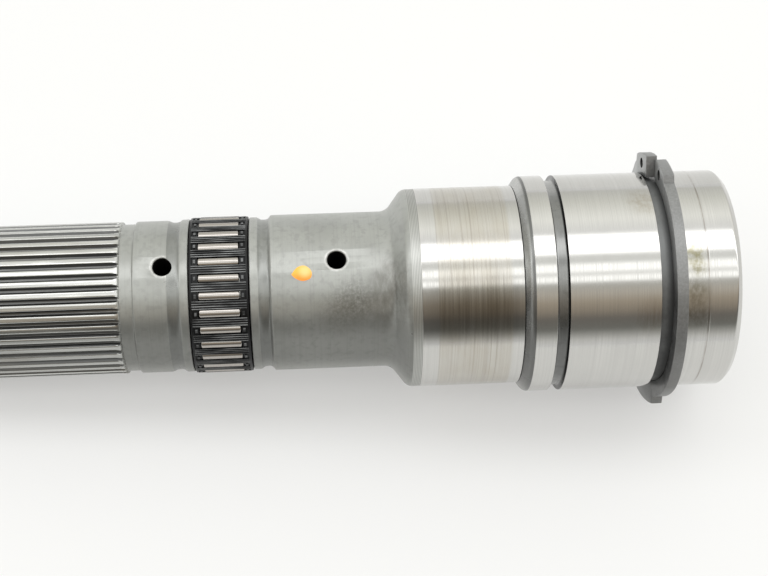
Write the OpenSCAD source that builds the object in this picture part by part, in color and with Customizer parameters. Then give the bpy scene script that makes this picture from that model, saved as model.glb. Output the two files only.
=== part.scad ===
// Transmission main shaft with a caged needle bearing and a sprung retaining ring.
// The shaft stands on its large end: Z runs along the axis, towards the spline.
// The origin is the centre of the large end face. Sizes are in millimetres and
// angles are in degrees about Z, counted from +X.

/* [Large end] */
// Diameter of the end journal, the bearing journal and the land
journal_d = 60; // [56:0.5:66]
// Length of the end journal, from the end face to the ring groove
end_journal_len = 15.3; // [13:0.1:30]
// Lead-in chamfer at the end face
end_chamfer = 1.5; // [0.5:0.1:2.5]
// Height of the seal track above the end face
seal_track_at = 9.2; // [6:0.1:12]
// Width of the track that the seal lip wore into the end journal
seal_track_w = 0.8; // [0.4:0.1:1.4]
// Depth of the worn seal track
seal_track_depth = 0.04; // [0.02:0.01:0.1]
// Length of the bearing journal between the two grooves
bearing_journal_len = 24.3; // [15:0.1:40]
// Width of the groove that the retaining ring lies in
ring_groove_w = 6.4; // [4:0.1:8]
// Width of the second groove
stop_groove_w = 3.2; // [2:0.1:5]
// Depth of the two grooves
ring_groove_depth = 1.5; // [1:0.1:2.5]
// Length of the land behind the second groove
land_len = 5.5; // [3:0.1:10]
// Radius of the rounded edge at the back of the land
land_edge_r = 1.9; // [0.5:0.1:3]
// Slope of the short shoulder behind that edge, measured from the axis
land_slope = 56; // [45:1:75]

/* [Ground journal] */
// Diameter of the ground journal
ground_d = 55; // [50:0.5:55.5]
// Length of the ground journal
ground_len = 26.55; // [15:0.05:40]
// Width of the fine grinding undercut at the foot of the short shoulder
undercut_w = 0.7; // [0.7:0.1:1.2]
// Depth of the grinding undercut
undercut_depth = 0.3; // [0.2:0.05:0.35]
// Radial step from the ground journal down to the band that was only turned
turned_step = 0.3; // [0.25:0.05:0.5]
// Length of the turned band before the shoulder starts to fall
turned_band_len = 2.2; // [1:0.05:6]
// Radius of the rounded edge at the top of the falling shoulder
shoulder_edge_r = 2.5; // [1:0.1:3]
// Radius of the fillet at the foot of the falling shoulder
shoulder_fillet_r = 3.4; // [1:0.1:4]
// Slope of the falling shoulder, measured from the axis
shoulder_slope = 53; // [40:1:65]

/* [Body] */
// Diameter of the plain body
body_d = 43; // [42.4:0.1:45]
// Length of the plain body
body_len = 30.1; // [20:0.1:60]
// Diameter of the two ribs beside the needle bearing
rib_d = 42.1; // [41:0.1:42.4]
// Width of each rib
rib_w = 2.2; // [1.2:0.1:4]
// Width of the two turned grooves behind the ribs
relief_groove_w = 3.65; // [2.5:0.05:6]
// Depth of those grooves below the ribs
relief_groove_depth = 0.75; // [0.4:0.05:1.2]
// Axial length of the sloped walls of those grooves
relief_groove_slope = 0.9; // [0.4:0.1:1.2]
// Diameter of the collar between the needle bearing and the spline
collar_d = 41.8; // [41.4:0.1:42.4]
// Length of that collar
collar_len = 9; // [6:0.1:20]
// Small chamfer that breaks the edges of the ribs, the collar and the spline
edge_break = 0.35; // [0.1:0.05:0.6]

/* [Spline] */
// Number of spline teeth
spline_teeth = 42; // [36:1:46]
// Direction of the first tooth gap
spline_first_at = 246.7; // [0:0.1:360]
// Outside diameter of the spline
spline_d = 41.8; // [41.4:0.1:42.4]
// Height of the teeth
tooth_h = 1.05; // [0.8:0.05:1.3]
// Width of a tooth gap at the tips of the teeth
gap_tip_w = 1.7; // [1.2:0.1:2.1]
// Width of a tooth gap at its floor
gap_root_w = 0.7; // [0.4:0.1:1]
// Length of the toothed stretch
spline_len = 60; // [30:0.5:100]
// Chamfer at the free end of the spline
spline_chamfer = 1.5; // [0.5:0.1:2]
// Diameter of the relief between the collar and the spline
spline_relief_d = 40.4; // [40:0.1:41]
// Length of that relief
spline_relief_len = 3.4; // [2.8:0.1:8]
// Radius of the rounded run-out at the inner end of each gap
runout_r = 5; // [3:0.5:6]
// Distance inside the spline at which the run-out starts
runout_in = 2.2; // [2:0.1:4]

/* [Oil ways] */
// Diameter of the oil gallery along the axis
gallery_d = 12; // [8:0.5:16]
// Length of the gallery beyond the oil hole that is further from the end
gallery_overrun = 7; // [4:0.5:20]
// Diameter of the centring cone at the mouth of the gallery
gallery_mouth_d = 18; // [17:0.5:24]
// Diameter of the two oil holes
oil_hole_d = 5; // [3:0.1:6]
// Direction in which both oil holes open
oil_hole_at = 270; // [0:1:359]
// Distance of the first oil hole from the foot of the falling shoulder
body_oil_hole_from_shoulder = 12.6; // [8:0.1:20]
// Distance of the second oil hole from the edge of the collar
collar_oil_hole_from_edge = 0.9; // [0:0.1:6]
// Width of the broken edge around each oil hole
oil_hole_break = 0.3; // [0.1:0.05:0.5]
// Largest diameter of the centre hole in the spline end
centre_d = 10; // [6:0.5:14]
// Diameter of the pilot under the centre hole
centre_pilot_d = 4; // [2:0.5:5]
// Depth of that pilot below the cone
centre_pilot_len = 5; // [2:0.5:10]

/* [Needle bearing] */
// Number of needle rollers
roller_count = 28; // [20:1:29]
// Diameter of a needle roller
roller_d = 3; // [2.5:0.1:3.2]
// Length of a needle roller
roller_len = 10.8; // [8:0.1:14]
// Chamfer at the ends of a roller
roller_chamfer = 0.3; // [0.1:0.05:0.5]
// Direction of the first roller
roller_first_at = 246.7; // [0:0.1:360]
// Diameter of the raceway in the shaft
race_d = 37; // [36:0.1:38]
// Radial running clearance between the raceway and a roller
roller_play = 0.05; // [0.02:0.01:0.1]
// Clearance around a roller in its pocket
pocket_play = 0.1; // [0.05:0.01:0.15]
// Clearance at each end of a roller in its pocket
pocket_end_play = 0.2; // [0.1:0.05:0.4]
// Thickness of the cage's bars
cage_bar_h = 2.2; // [1.6:0.1:2.4]
// Width of the cage's two rims
cage_rim_w = 2; // [1.2:0.1:3]
// Width of the low wall between a pocket and each rim
cage_pocket_wall = 0.2; // [0.1:0.05:0.5]
// Height of the rims above the pitch circle of the rollers
cage_rim_rise = 1.3; // [1.1:0.05:1.4]
// Radial clearance between the rims and the raceway
cage_bore_play = 0.15; // [0.1:0.05:0.3]
// Clearance at each end of the cage in its recess
cage_end_play = 0.3; // [0.1:0.05:0.6]
// Width of the cut that lets the cage open to pass over the ribs
cage_split_w = 0.6; // [0.3:0.1:0.9]

/* [Retaining ring] */
// Thickness of the ring
ring_t = 3; // [2:0.1:4]
// Clearance between a lug of the ring and the wall that it lies against
ring_side_play = 0.1; // [0.05:0.01:0.2]
// Gap between the ring and the floor of its groove
ring_seat_play = 0.06; // [0.04:0.01:0.15]
// Radial width of the plain ring
ring_plain_w = 4.5; // [3.5:0.1:5.5]
// Radial width at the two lugs
lug_h = 6.2; // [5.6:0.1:9]
// Arc that each lug takes up
lug_arc = 17; // [12:0.5:25]
// Radial width at the pad opposite the lugs
pad_h = 6.5; // [5.6:0.1:9]
// Arc that the pad takes up
pad_arc = 38; // [20:1:60]
// Arc over which the lugs and the pad fall to the plain ring
ring_fall_arc = 2; // [1:0.5:6]
// Diameter of the plier holes in the lugs
lug_hole_d = 2.8; // [2:0.1:3]
// Distance of the plier holes from the inner edge
lug_hole_out = 3.4; // [2.8:0.1:3.6]
// Arc left open between the two lugs
ring_gap_arc = 1; // [0.5:0.5:20]
// Direction of the middle of the gap
ring_gap_at = 318; // [0:1:359]
// Arc, counted from the first lug, at which the ring starts to lean across the groove
ring_lean_from = 130; // [90:5:160]
// Arc over which its back leans
ring_lean_arc = 60; // [30:5:90]
// Share of the way across the groove that its back has leaned
ring_lean_share = 0.53; // [0.2:0.01:0.8]
// Arc at the last lug over which the ring springs further across the groove
ring_end_arc = 35; // [25:5:60]
// Share of the way across the groove that the last lug has sprung
ring_end_share = 0.9; // [0.8:0.01:1]
// How far the last lug has lifted off the floor of the groove
ring_lift = 0.9; // [0:0.1:2]

/* [Hidden] */
$fn = 96;
ARC_STEPS = 8;
RING_STEP = 3.5;
CUT = 1;
DRILL_POINT_SLOPE = 31;
CENTRE_SLOPE = 60;

// Radii that several features share
journal_r = journal_d / 2;
ground_r = ground_d / 2;
turned_r = ground_r - turned_step;
body_r = body_d / 2;
rib_r = rib_d / 2;
race_r = race_d / 2;
collar_r = collar_d / 2;
spline_r = spline_d / 2;
root_r = spline_r - tooth_h;
spline_relief_r = spline_relief_d / 2;
seal_track_r = journal_r - seal_track_depth;
ring_groove_r = journal_r - ring_groove_depth;
relief_groove_r = rib_r - relief_groove_depth;

// The needle bearing sets the length of its recess
pocket_len = roller_len + 2 * pocket_end_play;
cage_w = pocket_len + 2 * (cage_pocket_wall + cage_rim_w);
race_len = cage_w + 2 * cage_end_play;
pitch_r = race_r + roller_play + roller_d / 2;
pocket_d = roller_d + 2 * pocket_play;

// The short shoulder at the land: its edge and its straight slope
land_edge_fall = land_edge_r * (1 - cos(land_slope));
land_slope_len = (journal_r - ground_r - land_edge_fall) / tan(land_slope);
land_fall_len = land_edge_r * sin(land_slope) + land_slope_len;

// The falling shoulder: its edge, its straight slope and its fillet
edge_fall = shoulder_edge_r * (1 - cos(shoulder_slope));
fillet_fall = shoulder_fillet_r * (1 - cos(shoulder_slope));
slope_fall = turned_r - body_r - edge_fall - fillet_fall;
slope_len = slope_fall / tan(shoulder_slope);
fall_len = slope_len + (shoulder_edge_r + shoulder_fillet_r) * sin(shoulder_slope);

// Heights along the axis, from the large end to the spline end
z_seal_track = seal_track_at - seal_track_w / 2;
z_ring_groove = end_journal_len;
z_bearing = z_ring_groove + ring_groove_w;
z_stop_groove = z_bearing + bearing_journal_len;
z_land = z_stop_groove + stop_groove_w;
z_shoulder = z_land + land_len;
z_undercut = z_shoulder + land_fall_len;
z_ground = z_undercut + undercut_w;
z_turned = z_ground + ground_len;
z_fall = z_turned + turned_band_len;
z_body = z_fall + fall_len;
z_body_groove = z_body + body_len;
z_body_rib = z_body_groove + relief_groove_w;
z_race = z_body_rib + rib_w;
z_collar_rib = z_race + race_len;
z_collar_groove = z_collar_rib + rib_w;
z_collar = z_collar_groove + relief_groove_w;
z_spline_relief = z_collar + collar_len;
z_spline = z_spline_relief + spline_relief_len;
z_end = z_spline + spline_len;
z_bearing_mid = z_race + race_len / 2;
z_body_oil_hole = z_body + body_oil_hole_from_shoulder;
z_collar_oil_hole = z_collar + collar_oil_hole_from_edge;
gallery_len = z_collar_oil_hole + gallery_overrun;

// The retaining ring: its arc, its first height and the way that it can cross in its groove
ring_arc = 360 - ring_gap_arc;
z_ring = z_ring_groove + ring_side_play;
ring_cross = ring_groove_w - ring_t - 2 * ring_side_play;

function roller_name(i) = str("roller_", i < 10 ? "0" : "", i);
function roller_at(i) = roller_first_at + (i - 1) * 360 / roller_count;

// Points of an arc in the radius and height plane
function arc(centre, r, from, to) = [
    for (i = [0 : ARC_STEPS])
        let (a = from + (to - from) * i / ARC_STEPS)
        centre + r * [cos(a), sin(a)]
];

// A groove with straight walls, cut down to the radius floor_r
function square_groove(z, w, top_r, floor_r) = [
    [top_r, z],
    [floor_r, z],
    [floor_r, z + w],
    [top_r, z + w]
];

// A groove with sloped walls, between a lower neighbour and an upper one
function sloped_groove(z, lower_r, upper_r) = [
    [lower_r, z],
    [relief_groove_r, z + relief_groove_slope],
    [relief_groove_r, z + relief_groove_w - relief_groove_slope],
    [upper_r, z + relief_groove_w]
];

// Outline of the turned blank, as points of radius and height
function turned_outline() = concat(
    [[0, 0], [journal_r - end_chamfer, 0], [journal_r, end_chamfer]],
    square_groove(z_seal_track, seal_track_w, journal_r, seal_track_r),
    square_groove(z_ring_groove, ring_groove_w, journal_r, ring_groove_r),
    square_groove(z_stop_groove, stop_groove_w, journal_r, ring_groove_r),
    arc([journal_r - land_edge_r, z_shoulder], land_edge_r, 0, land_slope),
    [[ground_r, z_undercut]],
    [[ground_r - undercut_depth, z_undercut + undercut_depth]],
    [[ground_r - undercut_depth, z_ground - undercut_depth], [ground_r, z_ground]],
    [[ground_r, z_turned], [turned_r, z_turned]],
    arc([turned_r - shoulder_edge_r, z_fall], shoulder_edge_r, 0, shoulder_slope),
    arc([body_r + shoulder_fillet_r, z_body], shoulder_fillet_r, 180 + shoulder_slope, 180),
    sloped_groove(z_body_groove, body_r, rib_r - edge_break),
    [[rib_r, z_body_rib + edge_break], [rib_r, z_race - edge_break], [rib_r - edge_break, z_race]],
    [[race_r, z_race], [race_r, z_collar_rib]],
    [[rib_r - edge_break, z_collar_rib], [rib_r, z_collar_rib + edge_break]],
    [[rib_r, z_collar_groove - edge_break]],
    sloped_groove(z_collar_groove, rib_r - edge_break, collar_r - edge_break),
    [[collar_r, z_collar + edge_break], [collar_r, z_spline_relief - edge_break]],
    [[spline_relief_r, z_spline_relief], [spline_relief_r, z_spline]],
    [[spline_r - edge_break, z_spline], [spline_r, z_spline + edge_break]],
    [[spline_r, z_end - spline_chamfer], [spline_r - spline_chamfer, z_end], [0, z_end]]
);

// One tooth gap of the spline, opening along +X, with its rounded run-out
module tooth_gap() {
    flank_run = (gap_tip_w - gap_root_w) / 2 / tooth_h;
    mouth_r = spline_r + CUT;
    mouth_half = gap_root_w / 2 + flank_run * (mouth_r - root_r);
    section = [
        [root_r, -gap_root_w / 2],
        [mouth_r, -mouth_half],
        [mouth_r, mouth_half],
        [root_r, gap_root_w / 2]
    ];
    z_runout = z_spline + runout_in;
    translate([0, 0, z_runout])
        linear_extrude(z_end - z_runout + CUT)
            polygon(section);
    intersection() {
        translate([0, 0, z_runout - runout_r])
            linear_extrude(runout_r)
                polygon(section);
        translate([root_r + runout_r, 0, z_runout])
            rotate([90, 0, 0])
                cylinder(h = 2 * mouth_half + CUT, r = runout_r, center = true);
    }
}

// A drilled oil way that opens along +X with a broken edge at the radius surface_r
module oil_hole(z, surface_r) {
    break_len = oil_hole_break + CUT;
    translate([0, 0, z])
        rotate([0, 90, 0]) {
            cylinder(h = surface_r + CUT, d = oil_hole_d);
            translate([0, 0, surface_r - oil_hole_break])
                cylinder(h = break_len, d1 = oil_hole_d, d2 = oil_hole_d + 2 * break_len);
        }
}

// The oil gallery with its drill point and the centring cone at its mouth
module gallery() {
    point_len = gallery_d / 2 * tan(DRILL_POINT_SLOPE);
    cone_len = gallery_mouth_d / 2 * tan(CENTRE_SLOPE);
    translate([0, 0, -CUT])
        cylinder(h = gallery_len + CUT, d = gallery_d);
    translate([0, 0, gallery_len])
        cylinder(h = point_len, d1 = gallery_d, d2 = 0);
    cylinder(h = cone_len, d1 = gallery_mouth_d, d2 = 0);
}

// The centre hole in the spline end
module centre_hole() {
    cone_len = centre_d / 2 * tan(CENTRE_SLOPE);
    pilot_len = centre_pilot_len + (centre_d - centre_pilot_d) / 2 * tan(CENTRE_SLOPE);
    translate([0, 0, z_end - cone_len])
        cylinder(h = cone_len + CUT, d1 = 0, d2 = centre_d + 2 * CUT / tan(CENTRE_SLOPE));
    translate([0, 0, z_end - pilot_len])
        cylinder(h = pilot_len + CUT, d = centre_pilot_d);
}

// The shaft itself, turned, splined and drilled from one piece
module main_shaft() {
    color([0.63, 0.64, 0.62])
        difference() {
            rotate_extrude()
                polygon(turned_outline());
            for (i = [0 : spline_teeth - 1])
                rotate([0, 0, spline_first_at + i * 360 / spline_teeth])
                    tooth_gap();
            rotate([0, 0, oil_hole_at]) {
                oil_hole(z_body_oil_hole, body_r);
                oil_hole(z_collar_oil_hole, collar_r);
            }
            gallery();
            centre_hole();
        }
}

// Section of the cage before its pockets are cut: two rims and a thinner web
module cage_section() {
    rim_in = race_r + cage_bore_play;
    rim_out = pitch_r + cage_rim_rise;
    bar_in = pitch_r - cage_bar_h / 2;
    z_low = z_bearing_mid - cage_w / 2;
    for (z = [z_low, z_low + cage_w - cage_rim_w])
        translate([rim_in, z])
            square([rim_out - rim_in, cage_rim_w]);
    translate([bar_in, z_low])
        square([cage_bar_h, cage_w]);
}

// The split cage that spaces the rollers
module needle_cage() {
    split_at = roller_first_at + 180 + 180 / roller_count;
    color([0.07, 0.07, 0.08])
        difference() {
            rotate_extrude()
                cage_section();
            for (i = [1 : roller_count])
                rotate([0, 0, roller_at(i)])
                    translate([pitch_r, 0, z_bearing_mid])
                        cylinder(h = pocket_len, d = pocket_d, center = true);
            rotate([0, 0, split_at])
                translate([race_r / 2, -cage_split_w / 2, z_bearing_mid - cage_w])
                    cube([race_r, cage_split_w, 2 * cage_w]);
        }
}

// One needle roller with chamfered ends
module roller(i) {
    r = roller_d / 2;
    half = roller_len / 2;
    color([0.82, 0.79, 0.75])
        rotate([0, 0, roller_at(i)])
            translate([pitch_r, 0, z_bearing_mid])
                rotate_extrude($fn = 48)
                    polygon([
                        [0, -half],
                        [r - roller_chamfer, -half],
                        [r, -half + roller_chamfer],
                        [r, half - roller_chamfer],
                        [r - roller_chamfer, half],
                        [0, half]
                    ]);
}

// Smooth step from 0 to 1 as x runs from start over the given length
function ease(x, start, length) =
    let (t = min(1, max(0, (x - start) / length)))
    t * t * (3 - 2 * t);

// 1 over the first length of x, then a straight fall to 0 over the fall's length
function plateau(x, length, fall) = 1 - min(1, max(0, (x - length) / fall));

// The ring at the arc a from its first lug: inner radius, radial width and height.
// The chords of its facets lie on the seat, so the corners stand a little outside.
function ring_end(a) = ease(a, ring_arc - ring_end_arc, ring_end_arc * 0.8);
function ring_inner_r(a) =
    (ring_groove_r + ring_seat_play + ring_lift * ring_end(a)) / cos(RING_STEP / 2);
function ring_w(a) =
    let (lug = plateau(min(a, ring_arc - a), lug_arc, ring_fall_arc))
    let (pad = plateau(abs(a - ring_arc / 2), pad_arc / 2, ring_fall_arc))
    ring_plain_w + (lug_h - ring_plain_w) * lug + (pad_h - ring_plain_w) * pad;
function ring_z(a) =
    z_ring + ring_cross * (ring_lean_share * ease(a, ring_lean_from, ring_lean_arc)
    + (ring_end_share - ring_lean_share) * ring_end(a));

// Arcs at which the ring's sections stand: at each change of width, and evenly between
function ring_stations() =
    let (near = [0, lug_arc, lug_arc + ring_fall_arc])
    let (middle = [ring_arc / 2 - pad_arc / 2 - ring_fall_arc, ring_arc / 2 - pad_arc / 2])
    let (half = concat(near, middle))
    let (changes = concat(half, [for (i = [4 : -1 : 0]) ring_arc - half[i]]))
    concat([0], [
        for (i = [1 : len(changes) - 1])
            let (span = changes[i] - changes[i - 1])
            let (count = ceil(span / RING_STEP))
            for (k = [1 : count]) changes[i - 1] + span * k / count
    ]);

// The four corners of the ring's section at the arc a
function ring_corners(a) =
    let (turn = ring_gap_at - ring_gap_arc / 2 - a)
    let (inner = ring_inner_r(a))
    let (outer = inner + ring_w(a))
    let (z = ring_z(a))
    [
        for (corner = [[inner, z], [outer, z], [outer, z + ring_t], [inner, z + ring_t]])
            [corner[0] * cos(turn), corner[0] * sin(turn), corner[1]]
    ];

// The ring's bent strip, as sections joined by triangles
module ring_strip() {
    stations = ring_stations();
    last = len(stations) - 1;
    points = [for (a = stations) each ring_corners(a)];
    sides = [
        for (i = [0 : last - 1])
            for (k = [0 : 3])
                let (p = 4 * i + k)
                let (q = 4 * i + (k + 1) % 4)
                each [[p, q, q + 4], [p, q + 4, p + 4]]
    ];
    first_end = [[0, 3, 2], [0, 2, 1]];
    last_end = [for (face = [[0, 1, 2], [0, 2, 3]]) [for (k = face) 4 * last + k]];
    polyhedron(points, concat(sides, first_end, last_end));
}

// The retaining ring: its first lug lies at one wall of the groove, its last lug near the other
module snap_ring() {
    color([0.36, 0.37, 0.37])
        difference() {
            ring_strip();
            for (a = [lug_arc / 2, ring_arc - lug_arc / 2])
                rotate([0, 0, ring_gap_at - ring_gap_arc / 2 - a])
                    translate([ring_inner_r(a) + lug_hole_out, 0, ring_z(a) - CUT])
                        cylinder(h = ring_t + 2 * CUT, d = lug_hole_d);
        }
}

main_shaft();
needle_cage();
snap_ring();
for (i = [1 : roller_count])
    roller(i);
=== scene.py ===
"""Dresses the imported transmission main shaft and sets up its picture.

Sizes in the classes are millimetres and become metres when a mesh is made. The shaft stands on
its large end with its axis along +Z, so the surface it lies on in the picture is an upright sheet
behind it.
"""
import logging
import math
from collections.abc import Callable, Iterable, Sequence
from dataclasses import dataclass, field
from enum import Enum
from typing import Any

import bmesh
import bpy
from bmesh.types import BMEdge, BMesh, BMFace, BMVert
from bpy.types import Material, Node, NodeSocket, NodeTree, Object
from mathutils import Matrix, Vector


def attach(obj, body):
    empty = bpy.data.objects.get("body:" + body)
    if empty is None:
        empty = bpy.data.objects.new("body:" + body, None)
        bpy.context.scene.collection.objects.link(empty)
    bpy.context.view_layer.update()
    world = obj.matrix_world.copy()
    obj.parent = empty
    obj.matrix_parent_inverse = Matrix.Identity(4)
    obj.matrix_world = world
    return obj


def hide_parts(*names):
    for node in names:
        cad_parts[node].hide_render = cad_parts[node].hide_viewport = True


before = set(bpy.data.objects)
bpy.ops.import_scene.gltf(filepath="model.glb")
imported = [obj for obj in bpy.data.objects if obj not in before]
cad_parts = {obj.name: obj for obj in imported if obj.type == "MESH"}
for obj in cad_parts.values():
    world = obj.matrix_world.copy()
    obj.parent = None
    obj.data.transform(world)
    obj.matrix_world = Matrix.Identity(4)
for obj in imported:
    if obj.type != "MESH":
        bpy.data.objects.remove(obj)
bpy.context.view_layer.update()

LOG = logging.getLogger("main_shaft")
MM = 0.001
SHARP_EDGE = math.radians(36)
Colour = tuple[float, float, float]


def polar(radius: float, degrees: float, height: float) -> Vector:
    """Returns the point at a radius, direction and height given in mm and degrees, in metres."""
    turn = math.radians(degrees)
    return Vector((radius * math.cos(turn), radius * math.sin(turn), height)) * MM


def shade(colour: Colour, factor: float) -> Colour:
    """Returns a colour made lighter or darker by a factor."""
    return (colour[0] * factor, colour[1] * factor, colour[2] * factor)


def ease(x: float, start: float, length: float) -> float:
    """Returns a smooth step from 0 to 1 as x runs from start over the given length."""
    t = min(1.0, max(0.0, (x - start) / length))
    return t * t * (3 - 2 * t)


class NodeKit:
    """A node tree of a material or of the world, with short calls that add nodes to it."""

    def __init__(self, tree: NodeTree) -> None:
        """Takes the tree that the nodes go into."""
        self.tree = tree

    def node(self, kind: str, settings: dict[str, Any] | None = None, **inputs: Any) -> Node:
        """Adds a node.

        Args:
            kind: The node's type name.
            settings: Properties to set on the node.
            inputs: Values or sockets for its inputs, by socket name with spaces as underscores.

        Returns:
            The new node.
        """
        made = self.tree.nodes.new(kind)
        for key, value in (settings or {}).items():
            setattr(made, key, value)
        for key, value in inputs.items():
            self.feed(made.inputs[key.replace("_", " ")], value)
        return made

    def feed(self, socket: NodeSocket, value: Any) -> None:
        """Links an input to a socket, or sets it to a value.

        Args:
            socket: The input.
            value: The socket to link it to, or the value to set.
        """
        if isinstance(value, NodeSocket):
            self.tree.links.new(value, socket)
        else:
            socket.default_value = value

    def calc(self, operation: str, first: Any, second: Any = 0.0) -> NodeSocket:
        """Adds a Math node.

        Args:
            operation: What the node does.
            first: The first value or socket.
            second: The second value or socket, where the operation takes two.

        Returns:
            The node's result.
        """
        made = self.node("ShaderNodeMath", {"operation": operation})
        self.feed(made.inputs[0], first)
        self.feed(made.inputs[1], second)
        return made.outputs[0]

    def product(self, first: Any, second: Any) -> NodeSocket:
        """Returns two values or sockets multiplied."""
        return self.calc("MULTIPLY", first, second)

    def blend(self, factor: Any, first: NodeSocket, second: NodeSocket) -> NodeSocket:
        """Mixes two shaders.

        Args:
            factor: How much of the second shader shows.
            first: The shader at 0.
            second: The shader at 1.

        Returns:
            The mixed shader.
        """
        made = self.node("ShaderNodeMixShader")
        for socket, value in zip(made.inputs, (factor, first, second)):
            self.feed(socket, value)
        return made.outputs[0]


class ShaderGraph(NodeKit):
    """A material's node tree, with short calls for the nodes that the finishes share."""

    def __init__(self, name: str, metallic: float) -> None:
        """Starts a material with one Principled shader.

        Args:
            name: The material's name.
            metallic: 1 for bare metal, 0 for plastic and paint.
        """
        self.material = bpy.data.materials.new(name)
        self.material.use_nodes = True
        super().__init__(self.material.node_tree)
        self.shader = self.tree.nodes["Principled BSDF"]
        self.shader.inputs["Metallic"].default_value = metallic
        self.noises: dict[tuple[float, float, float, float], NodeSocket] = {}
        self.coords = self.node("ShaderNodeTexCoord").outputs["Object"]
        self.axes = self.node("ShaderNodeSeparateXYZ", Vector=self.coords).outputs

    def noise(self, across: float, along: float, detail: float = 3.0,
              rough: float = 0.5) -> NodeSocket:
        """Makes noise whose size differs across the shaft and along it.

        Args:
            across: Waves per metre in the two directions across the axis.
            along: Waves per metre along the axis.
            detail: How many finer layers are added.
            rough: How strong those layers are.

        Returns:
            The noise, from 0 to 1.
        """
        key = (across, along, detail, rough)
        if key not in self.noises:
            place = self.node("ShaderNodeMapping", Vector=self.coords,
                              Scale=(across, across, along))
            made = self.node("ShaderNodeTexNoise", Vector=place.outputs[0], Scale=1.0,
                             Detail=detail, Roughness=rough)
            self.noises[key] = made.outputs[0]
        return self.noises[key]

    def remap(self, value: Any, low: float, high: float, to_low: float = 0.0,
              to_high: float = 1.0) -> NodeSocket:
        """Moves a value smoothly from one span to another and holds it at both ends.

        Args:
            value: The value or socket.
            low: The start of its span.
            high: The end of its span.
            to_low: The result at the start.
            to_high: The result at the end.

        Returns:
            The moved value.
        """
        made = self.node("ShaderNodeMapRange", {"interpolation_type": "SMOOTHSTEP"})
        for socket, part in zip(made.inputs, (value, low, high, to_low, to_high)):
            self.feed(socket, part)
        return made.outputs[0]

    def band(self, low: float, high: float, soft: float) -> NodeSocket:
        """Marks the stretch of the shaft between two heights.

        Args:
            low: The lower height in mm.
            high: The upper height in mm.
            soft: How far each edge fades to either side, in mm.

        Returns:
            1 between the heights and 0 elsewhere.
        """
        height = self.axes["Z"]
        rise = self.remap(height, (low - soft) * MM, (low + soft) * MM)
        fall = self.remap(height, (high - soft) * MM, (high + soft) * MM, 1.0, 0.0)
        return self.product(rise, fall)

    def spot(self, centre: Vector, inner: float, outer: float) -> NodeSocket:
        """Marks the surroundings of a point.

        Args:
            centre: The point, in metres.
            inner: The distance in mm within which the mark is full.
            outer: The distance in mm past which there is none.

        Returns:
            1 near the point and 0 far from it.
        """
        made = self.node("ShaderNodeVectorMath", {"operation": "DISTANCE"})
        self.feed(made.inputs[0], self.coords)
        made.inputs[1].default_value = centre
        return self.remap(made.outputs["Value"], inner * MM, outer * MM, 1.0, 0.0)

    def side(self, degrees: float, inner: float, outer: float) -> NodeSocket:
        """Marks one side of the shaft.

        Args:
            degrees: The direction of that side about the axis.
            inner: The turn to either hand within which the mark is full.
            outer: The turn past which there is none.

        Returns:
            1 on that side and 0 elsewhere.
        """
        turn = math.radians(degrees)
        x, y = self.axes["X"], self.axes["Y"]
        along = self.calc("ADD", self.product(x, math.cos(turn)), self.product(y, math.sin(turn)))
        share = self.calc("DIVIDE", along, self.radius())
        return self.remap(share, math.cos(math.radians(outer)), math.cos(math.radians(inner)))

    def radius(self) -> NodeSocket:
        """Works out the distance from the axis.

        Returns:
            The distance in metres.
        """
        x, y = self.axes["X"], self.axes["Y"]
        square = self.calc("ADD", self.product(x, x), self.product(y, y))
        return self.calc("SQRT", square)

    def mix(self, factor: Any, first: Any, second: Any) -> NodeSocket:
        """Mixes two colours.

        Args:
            factor: How much of the second colour shows.
            first: The colour or socket at 0.
            second: The colour or socket at 1.

        Returns:
            The mixed colour.
        """
        made = self.node("ShaderNodeMix", {"data_type": "RGBA"})
        self.feed(made.inputs["Factor"], factor)
        for socket, colour in ((made.inputs[6], first), (made.inputs[7], second)):
            self.feed(socket, (*colour, 1.0) if isinstance(colour, tuple) else colour)
        return made.outputs[2]

    def surface(self, colour: Any, roughness: Any, height: Any, depth_um: float) -> None:
        """Feeds the shader with what a finish shows.

        Args:
            colour: The colour.
            roughness: The roughness.
            height: The height of the bump.
            depth_um: How many micrometres a height of 1 stands for.
        """
        self.feed(self.shader.inputs["Base Color"], colour)
        self.feed(self.shader.inputs["Roughness"], roughness)
        bump = self.node("ShaderNodeBump", Strength=1.0, Distance=depth_um * 1e-6, Height=height)
        self.feed(self.shader.inputs["Normal"], bump.outputs[0])


@dataclass(frozen=True)
class StainAndLightSpot:
    """A soft spot on a finish: a brown or dark stain, a painted shade or a painted highlight."""

    centre: Vector
    inner: float
    outer: float
    colour: Colour
    strength: float
    grain: float = 900.0
    grain_along: float = 900.0

    def over(self, graph: ShaderGraph, colour: Any) -> NodeSocket:
        """Lays the spot over a colour.

        Args:
            graph: The material's nodes.
            colour: The colour below.

        Returns:
            The colour with the spot laid over it.
        """
        grain = graph.noise(self.grain, self.grain_along, 5.0, 0.65)
        speckle = graph.remap(grain, 0.3, 0.7, 0.25, 1.0)
        amount = graph.product(graph.spot(self.centre, self.inner, self.outer), speckle)
        return graph.mix(graph.product(amount, self.strength), colour, self.colour)


@dataclass(frozen=True)
class PaintedSideShade:
    """Painted shade that darkens one side of the shaft."""

    at: float = 204.0
    inner: float = 8.0
    outer: float = 32.0
    left: float = 0.62

    def over(self, graph: ShaderGraph, colour: Any) -> NodeSocket:
        """Returns a colour with the painted shade laid over it."""
        amount = graph.product(graph.side(self.at, self.inner, self.outer), 1 - self.left)
        return graph.mix(amount, colour, (0.0, 0.0, 0.0))


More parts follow.
